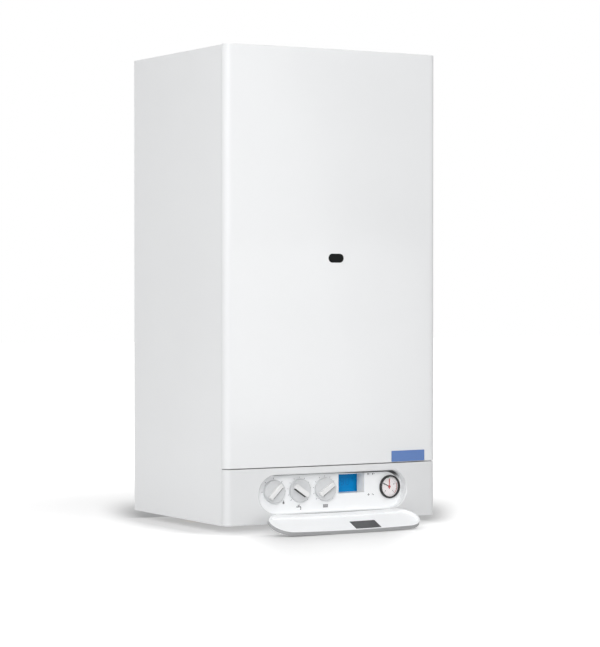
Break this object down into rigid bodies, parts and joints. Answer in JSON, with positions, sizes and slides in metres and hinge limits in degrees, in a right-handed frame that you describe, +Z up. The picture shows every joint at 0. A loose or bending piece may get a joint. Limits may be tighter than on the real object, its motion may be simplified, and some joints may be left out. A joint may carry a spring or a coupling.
{
  "type": "wall-hung combi boiler",
  "caption": "Wall-hung combi boiler with a bowed white casing, a drop-down flap open over a recessed control panel with knobs, a display and a pressure gauge, and its inner works.",
  "frame": {"origin": "on the wall plane, midway across the casing, level with the casing's lower edge", "axes": "+X to the right seen from the front, +Y back into the wall, +Z up"},
  "size_m": [0.4, 0.3963, 0.7958],
  "materials": {
    "white_enamel": "satin",
    "white_plastic": "satin",
    "flap_plastic": "satin",
    "knob_plastic": "satin",
    "smoked_plastic": "gloss",
    "dark_lens": "gloss",
    "blue_plate": "gloss",
    "display_blue": "gloss",
    "black_plastic": "satin",
    "dial_white": "matte",
    "clear_cover": "gloss",
    "hand_black": "satin",
    "hand_red": "satin",
    "board_green": "satin",
    "galvanised": "satin",
    "plain_steel": "satin",
    "zinc": "gloss",
    "aluminium": "satin",
    "copper": "satin",
    "brass": "satin",
    "red_paint": "satin",
    "fibre": "matte",
    "ceramic_white": "gloss",
    "black_paint": "satin",
    "grey_plastic": "satin",
    "blue_knob": "satin"
  },
  "bodies": {
    "casing": {"air_chamber": "galvanised", "air_vent": "brass", "burner": "plain_steel", "chamber_cover": "galvanised", "chamber_sight_glass": "dark_lens", "chassis": "galvanised", "circuit_board": "board_green", "combustion_chamber": "plain_steel", "control_box": "grey_plastic", "control_insert": "white_plastic", "control_switches": "black_plastic", "cover_screws": "zinc", "display": "display_blue", "diverter_actuator": "black_plastic", "electrodes": "ceramic_white", "expansion_vessel": "red_paint", "fan_housing": "aluminium", "fan_motor": "black_paint", "fascia": "white_plastic", "flap_hinge_pins": "plain_steel", "flow_block": "brass", "flow_pipe": "copper", "flue_collar": "aluminium", "flue_hood": "plain_steel", "gas_inlet_pipe": "copper", "gas_manifold": "aluminium", "gas_riser": "copper", "gas_valve": "aluminium", "gauge_case": "black_plastic", "gauge_dial": "dial_white", "gauge_glass": "clear_cover", "heat_exchanger": "copper", "injectors": "brass", "insulation": "fibre", "plate_exchanger": "plain_steel", "pump_housing": "black_paint", "pump_motor": "black_paint", "return_block": "brass", "return_pipe": "copper", "safety_valve": "brass", "side_panel_left": "white_enamel", "side_panel_right": "white_enamel", "top_panel": "white_enamel", "vessel_pipe": "copper", "wall_bracket": "galvanised"},
    "front_cover": {"front_panel": "white_enamel", "badge_plate": "blue_plate", "sight_glass": "dark_lens"},
    "flap": {"flap": "flap_plastic", "flap_window": "smoked_plastic"},
    "knob_mode": {"knob_mode": "knob_plastic"},
    "knob_hot_water": {"knob_hot_water": "knob_plastic"},
    "knob_heating": {"knob_heating": "knob_plastic"},
    "gauge_needle": {"gauge_needle": "hand_black"},
    "gauge_set_hand": {"gauge_set_hand": "hand_red"},
    "fan_rotor": {"fan_rotor": "aluminium"},
    "pump_impeller": {"pump_impeller": "grey_plastic"},
    "filling_tap": {"filling_tap_knob": "blue_knob"},
    "safety_knob": {"safety_valve_knob": "hand_red"},
    "diverter_spindle": {"diverter_spindle": "plain_steel"}
  },
  "joints": [
    {"name": "front_cover_lift_off", "type": "slide", "parent": "casing", "child": "front_cover", "axis": [0, -1, 0], "range_m": [0, 0.35]},
    {"name": "flap_hinge", "type": "hinge", "parent": "casing", "child": "flap", "pos_m": [0, -0.334, 0.0125], "axis": [-1, 0, 0], "range_deg": [0, 113]},
    {"name": "mode_turn", "type": "hinge", "parent": "casing", "child": "knob_mode", "pos_m": [-0.104, -0.3163, 0.051], "axis": [0, -1, 0], "range_deg": [-45, 135]},
    {"name": "hot_water_turn", "type": "hinge", "parent": "casing", "child": "knob_hot_water", "pos_m": [-0.056, -0.3163, 0.051], "axis": [0, -1, 0], "range_deg": [-190, 80]},
    {"name": "heating_turn", "type": "hinge", "parent": "casing", "child": "knob_heating", "pos_m": [-0.008, -0.3163, 0.051], "axis": [0, -1, 0], "range_deg": [-80, 190]},
    {"name": "gauge_needle_turn", "type": "hinge", "parent": "casing", "child": "gauge_needle", "pos_m": [0.117, -0.3154, 0.05], "axis": [0, -1, 0], "range_deg": [-135, 135]},
    {"name": "gauge_set_hand_turn", "type": "hinge", "parent": "casing", "child": "gauge_set_hand", "pos_m": [0.117, -0.3154, 0.05], "axis": [0, -1, 0], "range_deg": [-197, 73]},
    {"name": "fan_spin", "type": "hinge", "parent": "casing", "child": "fan_rotor", "pos_m": [-0.042, -0.1773, 0.69], "axis": [0, 1, 0], "continuous": true},
    {"name": "pump_spin", "type": "hinge", "parent": "casing", "child": "pump_impeller", "pos_m": [0.1, -0.15, 0.175], "axis": [0, 1, 0], "continuous": true},
    {"name": "filling_tap_turn", "type": "hinge", "parent": "casing", "child": "filling_tap", "pos_m": [0.0975, -0.088, 0.046], "axis": [0, 0, 1], "range_deg": [0, 360]},
    {"name": "safety_knob_turn", "type": "hinge", "parent": "casing", "child": "safety_knob", "pos_m": [0.085, -0.14, 0.113], "axis": [0, -1, 0], "range_deg": [0, 90]},
    {"name": "diverter_stroke", "type": "slide", "parent": "casing", "child": "diverter_spindle", "axis": [0, 1, 0], "range_m": [0, 0.008]}
  ]
}
